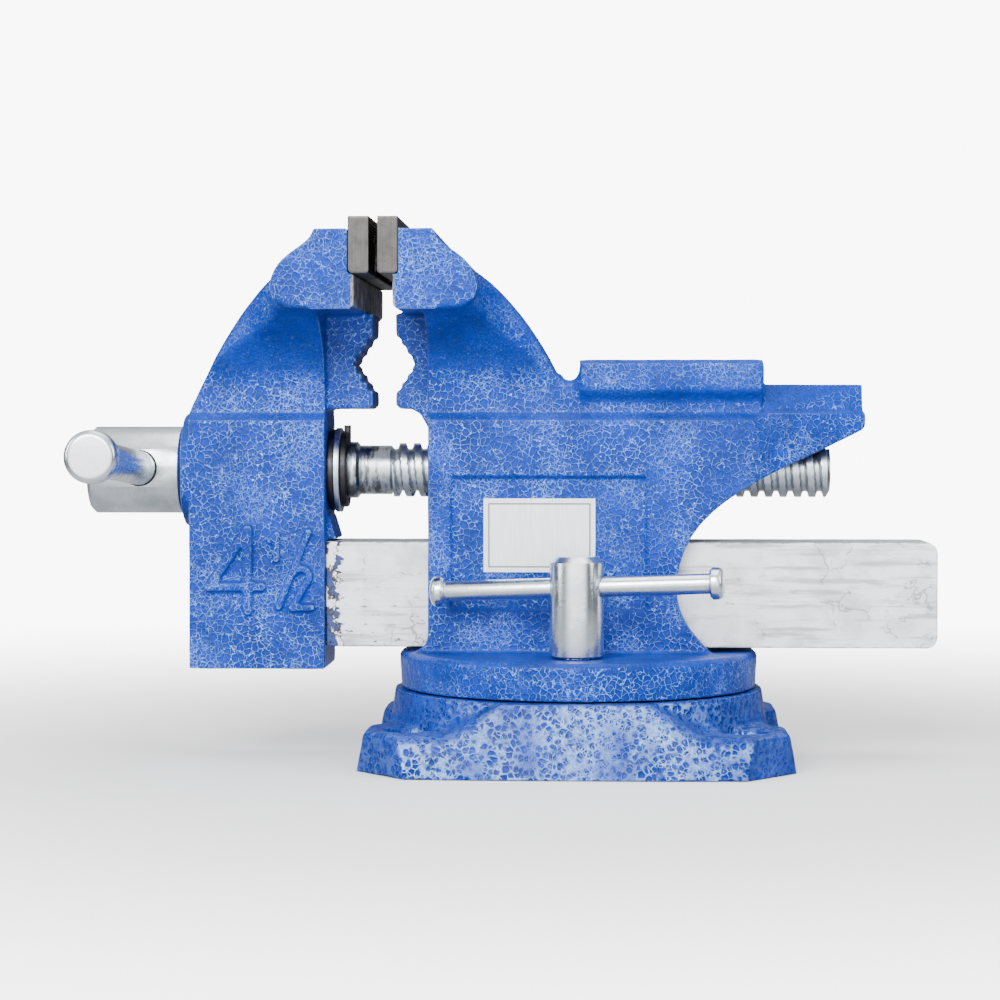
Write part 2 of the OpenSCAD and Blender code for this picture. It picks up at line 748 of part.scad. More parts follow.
module swivel_base() {
    top_y = foot_y - draft;
    color(paint) difference() {
        union() {
            intersection() {
                linear_extrude(lug_t) polygon(mirrored(foot_outline));
                long_extrude(-foot_x, foot_x) polygon(mirrored([
                    [foot_y, 0], [mix(foot_y, top_y, lug_t / base_h), lug_t]]));
                side_extrude(3 * foot_y) polygon(mirrored([[foot_x, 0], [foot_x - 2.6, lug_t]]));
            }
            intersection() {
                linear_extrude(base_h) polygon(mirrored(foot_outline));
                long_extrude(-foot_x, foot_x) polygon(mirrored([[foot_y, 0], [top_y, base_h]]));
                side_extrude(3 * foot_y) polygon(mirrored([[43, lug_t - 1], [43, lug_t], [25, base_h]]));
            }
            cylinder(r1 = base_r + deck_flare, r2 = base_r, h = base_h);
        }
        difference() {
            translate([0, 0, -1]) cylinder(r = cavity_r, h = deck_z + 1);
            translate([-4, 0, -2]) cube([8, base_r, base_h]);
        }
        lock_slot();
        translate([0, 0, -1]) cylinder(r = pivot_d / 2 + fit_gap, h = base_h + 2);
        translate([0, 0, -1]) cylinder(r = pivot_d + 3, h = deck_z + 1);
        for (x = [-1, 1], y = [-1, 1])
            translate([x * bolt_x / 2, y * bolt_y / 2, -1]) cylinder(d = bolt_hole_d, h = base_h + 2);
    }
}

swivel_base();
pivot_bolt();
pivot_washer();
lock_bolt();
lock_washer();
vise_body();
rear_jaw_plate();
rear_jaw_screws();
spindle_nut();
nut_set_screw();
label_plate();
lock_nut();
lock_bar();
lock_bar_knob_left();
lock_bar_knob_right();
front_jaw();
front_jaw_plate();
front_jaw_screws();
slide_bar();
slide_bar_pins();
lead_screw();
spacer_ring();
thrust_washer();
retaining_ring();
handle_bar();
handle_knob_near();
handle_knob_far();
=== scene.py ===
import math

import bmesh
import bpy
import numpy as np
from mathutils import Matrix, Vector


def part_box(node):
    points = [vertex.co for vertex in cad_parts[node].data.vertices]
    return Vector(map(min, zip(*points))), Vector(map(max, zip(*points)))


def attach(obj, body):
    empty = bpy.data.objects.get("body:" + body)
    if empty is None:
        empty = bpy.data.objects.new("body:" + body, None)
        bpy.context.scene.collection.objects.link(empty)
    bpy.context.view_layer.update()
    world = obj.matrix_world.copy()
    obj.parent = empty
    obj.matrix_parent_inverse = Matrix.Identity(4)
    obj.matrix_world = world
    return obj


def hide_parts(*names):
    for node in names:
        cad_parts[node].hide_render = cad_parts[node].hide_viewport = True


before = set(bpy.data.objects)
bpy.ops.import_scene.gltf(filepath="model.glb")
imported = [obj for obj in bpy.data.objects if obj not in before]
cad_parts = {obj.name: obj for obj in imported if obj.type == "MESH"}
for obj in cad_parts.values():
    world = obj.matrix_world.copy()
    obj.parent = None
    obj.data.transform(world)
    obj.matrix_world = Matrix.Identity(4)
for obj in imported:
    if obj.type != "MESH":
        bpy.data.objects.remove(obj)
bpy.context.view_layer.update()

# ---- Swivel base ----
# A grey iron casting with four bolted corner lugs and a round deck that the vise turns on.
# It is sand cast, so its edges are soft, and its faces carry the sand's unevenness.
# It is sprayed with the same blue hammered enamel as the other castings.

MM = 0.001
CAST_VOXEL = 0.6 * MM
FILLET_PASSES = 70
ALMOST_ALL_INWARD = 0.9
PAINT_DEEP = (0.003, 0.022, 0.175, 1.0)
PAINT_LIGHT = (0.004, 0.042, 0.42, 1.0)
PAINT_VEIN = (0.085, 0.26, 1.0, 1.0)
PAINT_WHITE = (0.42, 0.66, 1.0, 1.0)


def add_piece(name, mesh):
    """A new object in the row frame that holds this mesh."""
    piece = bpy.data.objects.new(name, mesh)
    bpy.context.scene.collection.objects.link(piece)
    return piece


def copy_of(node, name):
    """A new piece with a CAD node's shape, welded into one skin."""
    shape = bmesh.new()
    shape.from_mesh(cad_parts[node].data)
    bmesh.ops.remove_doubles(shape, verts=shape.verts, dist=1e-6)
    mesh = bpy.data.meshes.new(name)
    shape.to_mesh(mesh)
    shape.free()
    for layer in ("custom_normal", "sharp_edge", "sharp_face"):
        if layer in mesh.attributes:
            mesh.attributes.remove(mesh.attributes[layer])
    return add_piece(name, mesh)


def bake_modifiers(piece):
    """Turns what the piece's modifiers make into its own mesh."""
    graph = bpy.context.evaluated_depsgraph_get()
    made = bpy.data.meshes.new_from_object(piece.evaluated_get(graph))
    piece.modifiers.clear()
    piece.data = made
    return made


def points_of(mesh):
    """The mesh's points as rows of x, y, z."""
    flat = np.empty(len(mesh.vertices) * 3)
    mesh.vertices.foreach_get("co", flat)
    return flat.reshape(-1, 3)


def keep_inside(mesh, node):
    """Brings the mesh's points back to the box of the CAD node it stands for."""
    low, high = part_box(node)
    mesh.vertices.foreach_set("co", np.clip(points_of(mesh), low, high).ravel())
    mesh.update()


def rise(values, low, high):
    """0 below low, 1 above high, and straight between."""
    return np.clip((values - low) / (high - low), 0, 1)


def sand_cast(node, name, softness, lumps, lump_size, fillets=None):
    """The node as a casting: soft edges, and faces that aren't quite flat. fillets gives each
    point how far its corners are filled, from 0 to 1."""
    piece = copy_of(node, name)
    skin = piece.modifiers.new("skin", "REMESH")
    skin.mode = "VOXEL"
    skin.voxel_size = CAST_VOXEL
    soft = piece.modifiers.new("soft edges", "SMOOTH")
    soft.factor = 0.5
    soft.iterations = softness
    bake_modifiers(piece)
    if fillets:
        amount = fillets(points_of(piece.data))
        group = piece.vertex_groups.new(name="fillets")
        for level in (0.25, 0.5, 0.75, 1.0):
            group.add(np.nonzero(np.abs(amount - level) <= 0.125)[0].tolist(), level, "REPLACE")
        filled = piece.modifiers.new("fillets", "SMOOTH")
        filled.vertex_group = "fillets"
        filled.factor = 0.5
        filled.iterations = FILLET_PASSES
    sand = bpy.data.textures.new(name + " sand", "CLOUDS")
    sand.noise_scale = lump_size
    sand.noise_depth = 2
    uneven = piece.modifiers.new("sand marks", "DISPLACE")
    uneven.texture = sand
    uneven.texture_coords = "LOCAL"
    uneven.strength = lumps
    uneven.mid_level = ALMOST_ALL_INWARD
    bake_modifiers(piece).shade_smooth()
    piece.vertex_groups.clear()
    keep_inside(piece.data, node)
    return piece


def stands_for(piece, node, body, material):
    """The piece shows in place of the CAD node, on its body, in this finish."""
    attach(piece, body)
    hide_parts(node)
    piece.data.materials.clear()
    piece.data.materials.append(material)


def add_node(tree, kind, inputs=None, **settings):
    """A shader node with its settings, and its inputs set to numbers or linked to sockets."""
    made = tree.nodes.new(kind)
    for key, value in settings.items():
        setattr(made, key, value)
    for key, value in (inputs or {}).items():
        if isinstance(value, bpy.types.NodeSocket):
            tree.links.new(value, made.inputs[key])
        else:
            made.inputs[key].default_value = value
    return made


def math_node(tree, operation, a, b=0.0, clamp=False):
    """One sum on two numbers or sockets."""
    return add_node(tree, "ShaderNodeMath", {0: a, 1: b}, operation=operation, use_clamp=clamp).outputs[0]


def ramp_node(tree, value, low, high, to_low=0.0, to_high=1.0):
    """The value taken smoothly from one range to another."""
    made = add_node(tree, "ShaderNodeMapRange", {"Value": value}, interpolation_type="SMOOTHSTEP")
    for key, number in (("From Min", low), ("From Max", high), ("To Min", to_low), ("To Max", to_high)):
        if isinstance(number, bpy.types.NodeSocket):
            tree.links.new(number, made.inputs[key])
        else:
            made.inputs[key].default_value = number
    return made.outputs[0]


def mix_colour(tree, factor, a, b):
    """Colour a turned into colour b by the factor."""
    made = tree.nodes.new("ShaderNodeMix")
    made.data_type = "RGBA"
    for socket, value in zip((made.inputs[0], made.inputs[6], made.inputs[7]), (factor, a, b)):
        if isinstance(value, bpy.types.NodeSocket):
            tree.links.new(value, socket)
        else:
            socket.default_value = value
    return made.outputs[2]


def noise_node(tree, vector, scale, detail=2.0, roughness=0.5, output="Fac"):
    """Smooth noise at this place, with scale lumps to the metre."""
    made = add_node(tree, "ShaderNodeTexNoise",
                    {"Vector": vector, "Scale": scale, "Detail": detail, "Roughness": roughness})
    return made.outputs[output]


def new_group(name, inputs, outputs):
    """An empty shader node group: inputs are (name, kind, default), outputs are (name, kind)."""
    tree = bpy.data.node_groups.new(name, "ShaderNodeTree")
    for label, kind, default in inputs:
        tree.interface.new_socket(name=label, in_out="INPUT", socket_type=kind).default_value = default
    for label, kind in outputs:
        tree.interface.new_socket(name=label, in_out="OUTPUT", socket_type=kind)
    return tree, tree.nodes.new("NodeGroupInput").outputs, tree.nodes.new("NodeGroupOutput").inputs


def stretched(tree, vector, x, y, z):
    """The place scaled along each axis, so that a pattern draws out along the small ones."""
    return add_node(tree, "ShaderNodeVectorMath", {0: vector, 1: (x, y, z)}, operation="MULTIPLY").outputs[0]


def make_hammered_paint():
    """Hammered enamel pulls into cells as it dries. Thin pale ridges run between the cells, finer and denser
    in some patches, and broken in others. With Dimples, pale rings round the round pits are added to the
    ridges as painted highlight, and Glints gives small white spots on chosen cells, also painted highlight."""
    tree, given, out = new_group(
        "hammered paint",
        [("Place", "NodeSocketVector", (0, 0, 0)), ("Cell", "NodeSocketFloat", 0.0024),
         ("Ridge", "NodeSocketFloat", 0.06), ("Broken", "NodeSocketFloat", 0.5),
         ("Dimples", "NodeSocketFloat", 0.0)],
        [("Veins", "NodeSocketFloat"), ("Glints", "NodeSocketFloat"), ("Cells", "NodeSocketFloat"),
         ("Height", "NodeSocketFloat")])
    per_metre = math_node(tree, "DIVIDE", 1.0, given["Cell"])
    wander = noise_node(tree, given["Place"], math_node(tree, "MULTIPLY", per_metre, 0.9), 2.0, 0.5, "Color")
    centred = add_node(tree, "ShaderNodeVectorMath", {0: wander, 1: (0.5, 0.5, 0.5)},
                       operation="SUBTRACT").outputs[0]
    drift = add_node(tree, "ShaderNodeVectorMath", {0: centred, "Scale": math_node(
        tree, "MULTIPLY", given["Cell"], 1.1)}, operation="SCALE").outputs[0]
    place = add_node(tree, "ShaderNodeVectorMath", {0: given["Place"], 1: drift}, operation="ADD").outputs[0]
    patches = noise_node(tree, given["Place"], math_node(tree, "MULTIPLY", per_metre, 0.13), 3.0, 0.6)
    dense = ramp_node(tree, patches, 0.42, 0.66)
    broken = noise_node(tree, given["Place"], math_node(tree, "MULTIPLY", per_metre, 0.7), 3.0, 0.65)
    gap = math_node(tree, "SUBTRACT", math_node(tree, "ADD", 0.22, math_node(
        tree, "MULTIPLY", given["Broken"], 0.26)), math_node(tree, "MULTIPLY", dense, 0.10))
    kept = ramp_node(tree, broken, gap, math_node(tree, "ADD", gap, 0.16), 0.12, 1.0)
    edges = []
    lines = []
    for finer, wider in ((1.0, 1.0), (1.5, 1.3), (2.1, 1.5)):
        scale = math_node(tree, "MULTIPLY", per_metre, finer)
        edge = add_node(tree, "ShaderNodeTexVoronoi", {"Vector": place, "Scale": scale},
                        feature="DISTANCE_TO_EDGE").outputs["Distance"]
        edges.append(edge)
        lines.append(ramp_node(tree, edge, 0.0, math_node(tree, "MULTIPLY", given["Ridge"], wider), 1.0, 0.0))
    finer_here = math_node(tree, "MULTIPLY", lines[1], ramp_node(tree, patches, 0.44, 0.62, 0.0, 0.8))
    finest_here = math_node(tree, "MULTIPLY", lines[2], ramp_node(tree, patches, 0.60, 0.74, 0.0, 0.3))
    round_cell = add_node(tree, "ShaderNodeTexVoronoi",
                          {"Vector": place, "Scale": per_metre}).outputs["Distance"]
    # Painted highlight: pale rings round the dimples, where the pit edges would catch the lamps.
    rim_highlight = math_node(tree, "MULTIPLY", ramp_node(tree, round_cell, 0.42, 0.62, 0.0, 0.7), given["Dimples"])
    fine = math_node(tree, "MAXIMUM", finer_here, finest_here)
    network = math_node(tree, "MAXIMUM", math_node(tree, "MAXIMUM", lines[0], fine), rim_highlight)
    hollows = math_node(tree, "MULTIPLY", ramp_node(tree, round_cell, 0.05, 0.48), given["Dimples"])
    spots = add_node(tree, "ShaderNodeTexVoronoi", {"Vector": place, "Scale": math_node(
        tree, "MULTIPLY", per_metre, 1.4)})
    chosen = add_node(tree, "ShaderNodeSeparateColor", {0: spots.outputs["Color"]}).outputs[0]
    glints = math_node(tree, "MULTIPLY", ramp_node(tree, spots.outputs["Distance"], 0.08, 0.20, 1.0, 0.0),
                       ramp_node(tree, chosen, 0.70, 0.80))
    ridge = ramp_node(tree, edges[0], 0.0, 0.40, 1.0, 0.0)
    fine_ridge = math_node(tree, "MULTIPLY", ramp_node(tree, edges[1], 0.0, 0.4, 0.5, 0.0), dense)
    tree.links.new(math_node(tree, "MULTIPLY", network, kept), out["Veins"])
    tree.links.new(glints, out["Glints"])
    tree.links.new(edges[0], out["Cells"])
    relief = math_node(tree, "ADD", math_node(tree, "ADD", ridge, fine_ridge), math_node(
        tree, "MULTIPLY", hollows, 2.5))
    tree.links.new(relief, out["Height"])
    return tree


hammered_paint = make_hammered_paint()


def new_material(name):
    """A material with its node tree, its Principled shader and the row frame's place."""
    material = bpy.data.materials.new(name)
    material.use_nodes = True
    tree = material.node_tree
    shader = tree.nodes["Principled BSDF"]
    place = tree.nodes.new("ShaderNodeTexCoord").outputs["Object"]
    return material, tree, shader, place


def bump(tree, shader, height, depth):
    """Gives the shader's surface this relief, whose full height is depth."""
    made = add_node(tree, "ShaderNodeBump", {"Height": height, "Distance": depth})
    tree.links.new(made.outputs[0], shader.inputs["Normal"])


def inside_node(tree, value, low, high):
    """1 where the value is between low and high, with a soft edge of half a millimetre."""
    above = ramp_node(tree, value, low - 0.25 * MM, low + 0.25 * MM)
    below = ramp_node(tree, value, high - 0.25 * MM, high + 0.25 * MM, 1.0, 0.0)
    return math_node(tree, "MULTIPLY", above, below)


def blue_paint(name, cell, ridge, depth, veins, glints, band_low, end_face_highlight, dimples=0.0, thin=None):
    """Blue hammered enamel. The pale ridge network is the paint's own pattern, but its strength, and that of
    the white glints, is set by which way a face points: full on vertical faces, hardly any on faces that look
    up or down. That is painted highlight, standing in for the lamps catching the ridges. band_low is how pale
    the quiet bands are, and end_face_highlight how much of that painted highlight the faces that look along
    the vise keep. Concave creases get painted shade and convex edges a painted highlight. thin is a box where
    the spray hardly reached the iron."""
    material, tree, shader, place = new_material(name)
    crackle = add_node(tree, "ShaderNodeGroup", node_tree=hammered_paint)
    tree.links.new(place, crackle.inputs["Place"])
    crackle.inputs["Cell"].default_value = cell
    crackle.inputs["Ridge"].default_value = ridge
    crackle.inputs["Broken"].default_value = 0.55
    crackle.inputs["Dimples"].default_value = dimples
    convexity = tree.nodes.new("ShaderNodeNewGeometry").outputs["Pointiness"]
    facing = add_node(tree, "ShaderNodeSeparateXYZ", {0: place.node.outputs["Normal"]}).outputs
    # Painted highlight: ridges and glints are kept on vertical faces that catch the lamps, and faded on faces
    # that look up, down or along the vise.
    lit_upright_faces = ramp_node(tree, math_node(tree, "ABSOLUTE", facing["Z"]), 0.16, 0.44, 1.0, 0.18)
    lit_side_faces = ramp_node(tree, math_node(tree, "ABSOLUTE", facing["X"]), 0.35, 0.8, 1.0, end_face_highlight)
    bands = ramp_node(tree, noise_node(tree, stretched(tree, place, 45.0, 45.0, 20.0), 1.0, 3.0, 0.6),
                      0.36, 0.60, band_low, 1.0)
    painted_highlight_facing = math_node(tree, "MULTIPLY", math_node(tree, "MULTIPLY", lit_upright_faces, lit_side_faces), bands)
    clouds = ramp_node(tree, noise_node(tree, place, 60.0, 3.0), 0.3, 0.7)
    cell_shade = ramp_node(tree, crackle.outputs["Cells"], 0.02, 0.45)
    tone = math_node(tree, "ADD", math_node(tree, "MULTIPLY", clouds, 0.45),
                     math_node(tree, "MULTIPLY", cell_shade, 0.55))
    body = mix_colour(tree, tone, PAINT_DEEP, PAINT_LIGHT)
    vein_mask = math_node(tree, "MULTIPLY", crackle.outputs["Veins"],
                          math_node(tree, "MULTIPLY", painted_highlight_facing, veins), clamp=True)
    # The glints are painted highlights: white spots on chosen cells, where the lamps would catch the paint.
    glint_mask = math_node(tree, "MULTIPLY", crackle.outputs["Glints"],
                           math_node(tree, "MULTIPLY", painted_highlight_facing, glints), clamp=True)
    # With dimples the ridge colour is pushed towards white: painted highlight on the pit edges.
    paler = 0.3 + 0.5 * dimples
    ridge_colour = [blue + (white - blue) * paler for blue, white in zip(PAINT_VEIN, PAINT_WHITE)]
    veined = mix_colour(tree, vein_mask, body, ridge_colour)
    glinting = mix_colour(tree, glint_mask, veined, PAINT_WHITE)
    # Painted shade: concave creases, where Pointiness is low, are darkened as if in shadow.
    crease_shaded = mix_colour(tree, ramp_node(tree, convexity, 0.40, 0.485, 0.28, 0.0), glinting,
                        (0.004, 0.018, 0.15, 1.0))
    # Painted highlight: convex edges, where Pointiness is high, are lightened towards white as if catching
    # the light.
    coloured = mix_colour(tree, ramp_node(tree, convexity, 0.525, 0.60, 0.0, 0.65), crease_shaded, PAINT_WHITE)
    if thin:
        where = add_node(tree, "ShaderNodeSeparateXYZ", {0: place}).outputs
        box = math_node(tree, "MULTIPLY", inside_node(tree, where["X"], thin[0][0], thin[1][0]),
                        inside_node(tree, where["Z"], thin[0][2], thin[1][2]))
        runs = noise_node(tree, stretched(tree, place, 500.0, 620.0, 120.0), 1.0, 4.0, 0.65)
        iron = mix_colour(tree, ramp_node(tree, runs, 0.42, 0.60),
                          (0.05, 0.05, 0.055, 1.0), (0.34, 0.34, 0.35, 1.0))
        missed = math_node(tree, "MULTIPLY", box,
                           ramp_node(tree, noise_node(tree, place, 150.0, 4.0), 0.30, 0.44))
        coloured = mix_colour(tree, missed, coloured, iron)
    tree.links.new(coloured, shader.inputs["Base Color"])
    tree.links.new(ramp_node(tree, vein_mask, 0.0, 1.0, 0.36, 0.26), shader.inputs["Roughness"])
    shader.inputs["Specular IOR Level"].default_value = 0.08
    shader.inputs["Coat Weight"].default_value = 0.07
    shader.inputs["Coat Roughness"].default_value = 0.10
    grain = noise_node(tree, place, 1500.0, 3.0, 0.6)
    peel = noise_node(tree, place, 260.0, 2.0)
    height = math_node(tree, "ADD", math_node(tree, "MULTIPLY", crackle.outputs["Height"], 0.6), math_node(
        tree, "ADD", math_node(tree, "MULTIPLY", grain, 0.35), math_node(tree, "MULTIPLY", peel, 2.2)))
    bump(tree, shader, height, depth)
    return material


def base_fillets(points):
    """Corners are filled between the lugs and the deck, not at the foot or at the deck's rim."""
    return rise(points[:, 2], 5 * MM, 9 * MM) * (1 - rise(points[:, 2], 19 * MM, 23 * MM))


base = sand_cast("swivel_base", "base_casting", 5, 0.5 * MM, 7 * MM, base_fillets)
base_paint = blue_paint("base enamel", 2.3 * MM, 0.10, 0.4 * MM, 1.0, 0.9, 0.3, 0.12, dimples=0.85)
stands_for(base, "swivel_base", "base", base_paint)

# ---- Vise body and front jaw ----
# Two castings. The body is one piece with its swivel plate, rear jaw, anvil and horn, and the
# front jaw has the jaw's size raised on its lower block. Both have toothed pipe jaws, which are
# left as cast, and both are sprayed with hammered enamel over everything.

LOBE_BELOW_PLATE = 12.1 * MM
THROAT_BELOW_PLATE = 11 * MM
SEAT_DEPTH = 1 * MM
LOBE_END = 36 * MM
HOLLOW_FOOT = -33 * MM
NECK_SIDE = 14 * MM
PIPE_JAW_END = 21 * MM
plate_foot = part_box("front_jaw_plate")[0][2]
lobe_z = plate_foot - LOBE_BELOW_PLATE
gap_x = (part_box("front_jaw_plate")[1][0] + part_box("rear_jaw_plate")[0][0]) / 2


def jaw_fillets(points):
    """The jaws' arms blend into their necks in broad hollows, outside the pipe jaws."""
    x, y, z = np.abs(points[:, 0] - gap_x), np.abs(points[:, 1]), points[:, 2] - lobe_z
    top = np.where(x < LOBE_END, 1 * MM, 14 * MM)
    return (rise(z, HOLLOW_FOOT, HOLLOW_FOOT + 6 * MM) * (1 - rise(z, top, top + 3 * MM))
            * rise(y, NECK_SIDE, NECK_SIDE + 3 * MM) * rise(x, PIPE_JAW_END, PIPE_JAW_END + 2 * MM))


seats = (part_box("front_jaw_plate")[0][0] + SEAT_DEPTH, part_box("rear_jaw_plate")[1][0] - SEAT_DEPTH)
unsprayed = ((seats[0], 0, plate_foot - THROAT_BELOW_PLATE), (seats[1], 0, plate_foot))
casting_paint = blue_paint("casting enamel", 2.3 * MM, 0.042, 0.2 * MM, 1.0, 1.0, 0.5, 0.6, thin=unsprayed)
for node, name, body in (("vise_body", "body_casting", "swivel"),
                         ("front_jaw", "front_jaw_casting", "sliding_jaw")):
    casting = sand_cast(node, name, 3, 0.25 * MM, 9 * MM, jaw_fillets)
    stands_for(casting, node, body, casting_paint)

# ---- Jaw plates and their screws ----
# Ground steel plates with a face milled in two crossing directions, which leaves rows of small
# pyramids that bite the work. Each is held on its seat by two socket screws let into its face.

TOOTH_PITCH = 2.2 * MM
TOOTH_DEPTH = 0.55 * MM


def steel(name, colour, rough, streak_axis, streaks):
    """Ground or drawn steel: fine streaks along one axis, with darker smudges."""
    material, tree, shader, place = new_material(name)
    squeeze = [3200.0, 3200.0, 3200.0]
    squeeze[streak_axis] = 60.0
    lines = noise_node(tree, stretched(tree, place, *squeeze), 1.0, 3.0, 0.6)
    smudge = ramp_node(tree, noise_node(tree, place, 220.0, 4.0, 0.6), 0.35, 0.72)
    dark = tuple(0.55 * c for c in colour[:3]) + (1.0,)
    shade = mix_colour(tree, math_node(tree, "MULTIPLY", smudge, 0.45), colour, dark)
    line_mask = math_node(tree, "MULTIPLY", ramp_node(tree, lines, 0.42, 0.66), streaks)
    tree.links.new(mix_colour(tree, line_mask, shade, dark), shader.inputs["Base Color"])
    shader.inputs["Metallic"].default_value = 1.0
    tree.links.new(ramp_node(tree, smudge, 0.0, 1.0, rough, rough + 0.14), shader.inputs["Roughness"])
    bump(tree, shader, lines, 0.03 * MM)
    return material


jaw_steel = steel("ground jaw steel", (0.085, 0.081, 0.078, 1.0), 0.36, 2, 0.5)
black_steel = steel("blacked steel", (0.045, 0.045, 0.05, 1.0), 0.38, 0, 0.2)


def cut_teeth(piece, face_x, inward):
    """Mills crossing grooves into the plate's face at face_x. inward is the way into the plate."""
    mesh = piece.data
    points = points_of(mesh)
    on_face = np.abs(points[:, 0] - face_x) < 0.25 * MM
    cuts = []
    for diagonal in (points[:, 1] + points[:, 2], points[:, 1] - points[:, 2]):
        phase = np.abs((diagonal / TOOTH_PITCH) % 1.0 - 0.5) * 2
        cuts.append(np.clip(1.25 - 1.4 * (1 - phase), 0, 1))
    depth = np.maximum(cuts[0], cuts[1]) * TOOTH_DEPTH
    points[:, 0] += np.where(on_face, inward * depth, 0.0)
    mesh.vertices.foreach_set("co", points.ravel())
    mesh.update()


PLATE_VOXEL = 0.38 * MM
for side, body, inward in (("front", "sliding_jaw", -1), ("rear", "swivel", 1)):
    node = side + "_jaw_plate"
    low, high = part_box(node)
    plate = copy_of(node, node + "_toothed")
    skin = plate.modifiers.new("skin", "REMESH")
    skin.mode = "VOXEL"
    skin.voxel_size = PLATE_VOXEL
    bake_modifiers(plate)
    cut_teeth(plate, high[0] if inward < 0 else low[0], inward)
    keep_inside(plate.data, node)
    plate.data.shade_smooth()
    plate.data.set_sharp_from_angle(angle=math.radians(40))
    stands_for(plate, node, body, jaw_steel)


def machined(node, name, body, material, edge=0.3 * MM):
    """The node as a turned or sawn part, with its edges broken."""
    piece = copy_of(node, name)
    broken = piece.modifiers.new("broken edges", "BEVEL")
    broken.width = edge
    broken.segments = 3
    broken.limit_method = "ANGLE"
    broken.angle_limit = math.radians(35)
    mesh = bake_modifiers(piece)
    mesh.shade_smooth()
    mesh.set_sharp_from_angle(angle=math.radians(38))
    stands_for(piece, node, body, material)


machined("front_jaw_screws", "front_plate_screws", "sliding_jaw", black_steel)
machined("rear_jaw_screws", "rear_plate_screws", "swivel", black_steel)

# ---- Slide bar ----
# A rough rectangular bar, silver painted, whose end is let into the front jaw and pinned. The
# paint is thin: it shows pits and long drag marks, and near the jaw it has flaked over black
# primer, with some blue overspray from the castings.


def silver_bar_paint(low, high, jaw_x):
    """Thin silver paint between the bar's two corners, flaked off near jaw_x along the bar."""
    material, tree, shader, place = new_material("silver bar paint")
    where = add_node(tree, "ShaderNodeSeparateXYZ", {0: place}).outputs
    drags = noise_node(tree, stretched(tree, place, 26.0, 300.0, 330.0), 1.0, 5.0, 0.65)
    cloud = noise_node(tree, place, 90.0, 4.0, 0.6)
    grey = mix_colour(tree, ramp_node(tree, cloud, 0.40, 0.70), (0.88, 0.90, 0.92, 1.0),
                      (0.60, 0.63, 0.66, 1.0))
    dragged = mix_colour(tree, math_node(tree, "MULTIPLY", ramp_node(tree, drags, 0.50, 0.66), 0.75), grey,
                         (0.33, 0.35, 0.37, 1.0))
    cracks = add_node(tree, "ShaderNodeTexVoronoi", {"Vector": add_node(
        tree, "ShaderNodeVectorMath", {0: place, 1: add_node(tree, "ShaderNodeVectorMath", {
            0: noise_node(tree, place, 60.0, 4.0, 0.6, "Color"), 1: (0.04, 0.04, 0.04)},
            operation="MULTIPLY").outputs[0]}, operation="ADD").outputs[0], "Scale": 36.0},
        feature="DISTANCE_TO_EDGE").outputs["Distance"]
    crack_mask = math_node(tree, "MULTIPLY", ramp_node(tree, cracks, 0.0, 0.022, 1.0, 0.0),
                           ramp_node(tree, cloud, 0.48, 0.60))
    cracked = mix_colour(tree, math_node(tree, "MULTIPLY", crack_mask, 0.6), dragged, (0.16, 0.17, 0.18, 1.0))
    pits = noise_node(tree, stretched(tree, place, 210.0, 420.0, 520.0), 1.0, 3.0, 0.6)
    low_half = ramp_node(tree, where["Z"], low[2] + 5 * MM, high[2] - 8 * MM, 1.0, 0.0)
    pit_mask = math_node(tree, "MULTIPLY", ramp_node(tree, pits, 0.64, 0.67), math_node(
        tree, "MULTIPLY", low_half, ramp_node(tree, noise_node(tree, place, 30.0, 2.0), 0.44, 0.58)))
    pitted = mix_colour(tree, pit_mask, cracked, (0.045, 0.045, 0.05, 1.0))
    rim = math_node(tree, "MINIMUM", math_node(tree, "SUBTRACT", where["Z"], low[2]),
                    math_node(tree, "SUBTRACT", high[2], where["Z"]))
    ragged = math_node(tree, "ADD", rim, math_node(tree, "MULTIPLY", math_node(
        tree, "SUBTRACT", noise_node(tree, place, 320.0, 4.0, 0.7), 0.5), 2.2 * MM))
    worn_rim = math_node(tree, "MULTIPLY", ramp_node(tree, ragged, 0.1 * MM, 0.6 * MM, 1.0, 0.0), 0.7)
    rimmed = mix_colour(tree, worn_rim, pitted, (0.13, 0.135, 0.14, 1.0))
    waves = noise_node(tree, stretched(tree, place, 60.0, 190.0, 230.0), 1.0, 5.0, 0.7)
    wave = math_node(tree, "MULTIPLY", math_node(tree, "SUBTRACT", waves, 0.5), 16 * MM)
    from_jaw = math_node(tree, "SUBTRACT", math_node(tree, "ADD", where["X"], wave), jaw_x)
    flaked = ramp_node(tree, from_jaw, 4.3 * MM, 4.6 * MM, 1.0, 0.0)
    island = noise_node(tree, stretched(tree, place, 260.0, 260.0, 150.0), 1.0, 4.0, 0.65)
    primer = mix_colour(tree, ramp_node(tree, island, 0.47, 0.50),
                        (0.85, 0.87, 0.89, 1.0), (0.02, 0.022, 0.03, 1.0))
    splashed = mix_colour(tree, ramp_node(tree, island, 0.53, 0.56), primer, (0.02, 0.045, 0.20, 1.0))
    dark_lip = math_node(tree, "MULTIPLY", inside_node(tree, from_jaw, 4.2 * MM, 4.7 * MM), 0.85)
    torn = mix_colour(tree, flaked, rimmed, splashed)
    tree.links.new(mix_colour(tree, dark_lip, torn, (0.03, 0.03, 0.035, 1.0)), shader.inputs["Base Color"])
    tree.links.new(ramp_node(tree, drags, 0.3, 0.7, 0.40, 0.60), shader.inputs["Roughness"])
    shader.inputs["Metallic"].default_value = 0.15
    loss = math_node(tree, "ADD", math_node(tree, "ADD", pit_mask, flaked), crack_mask)
    lumps = math_node(tree, "MULTIPLY", math_node(tree, "ADD", drags, cloud), 0.9)
    height = math_node(tree, "SUBTRACT", lumps, loss)
    bump(tree, shader, height, 0.18 * MM)
    return material


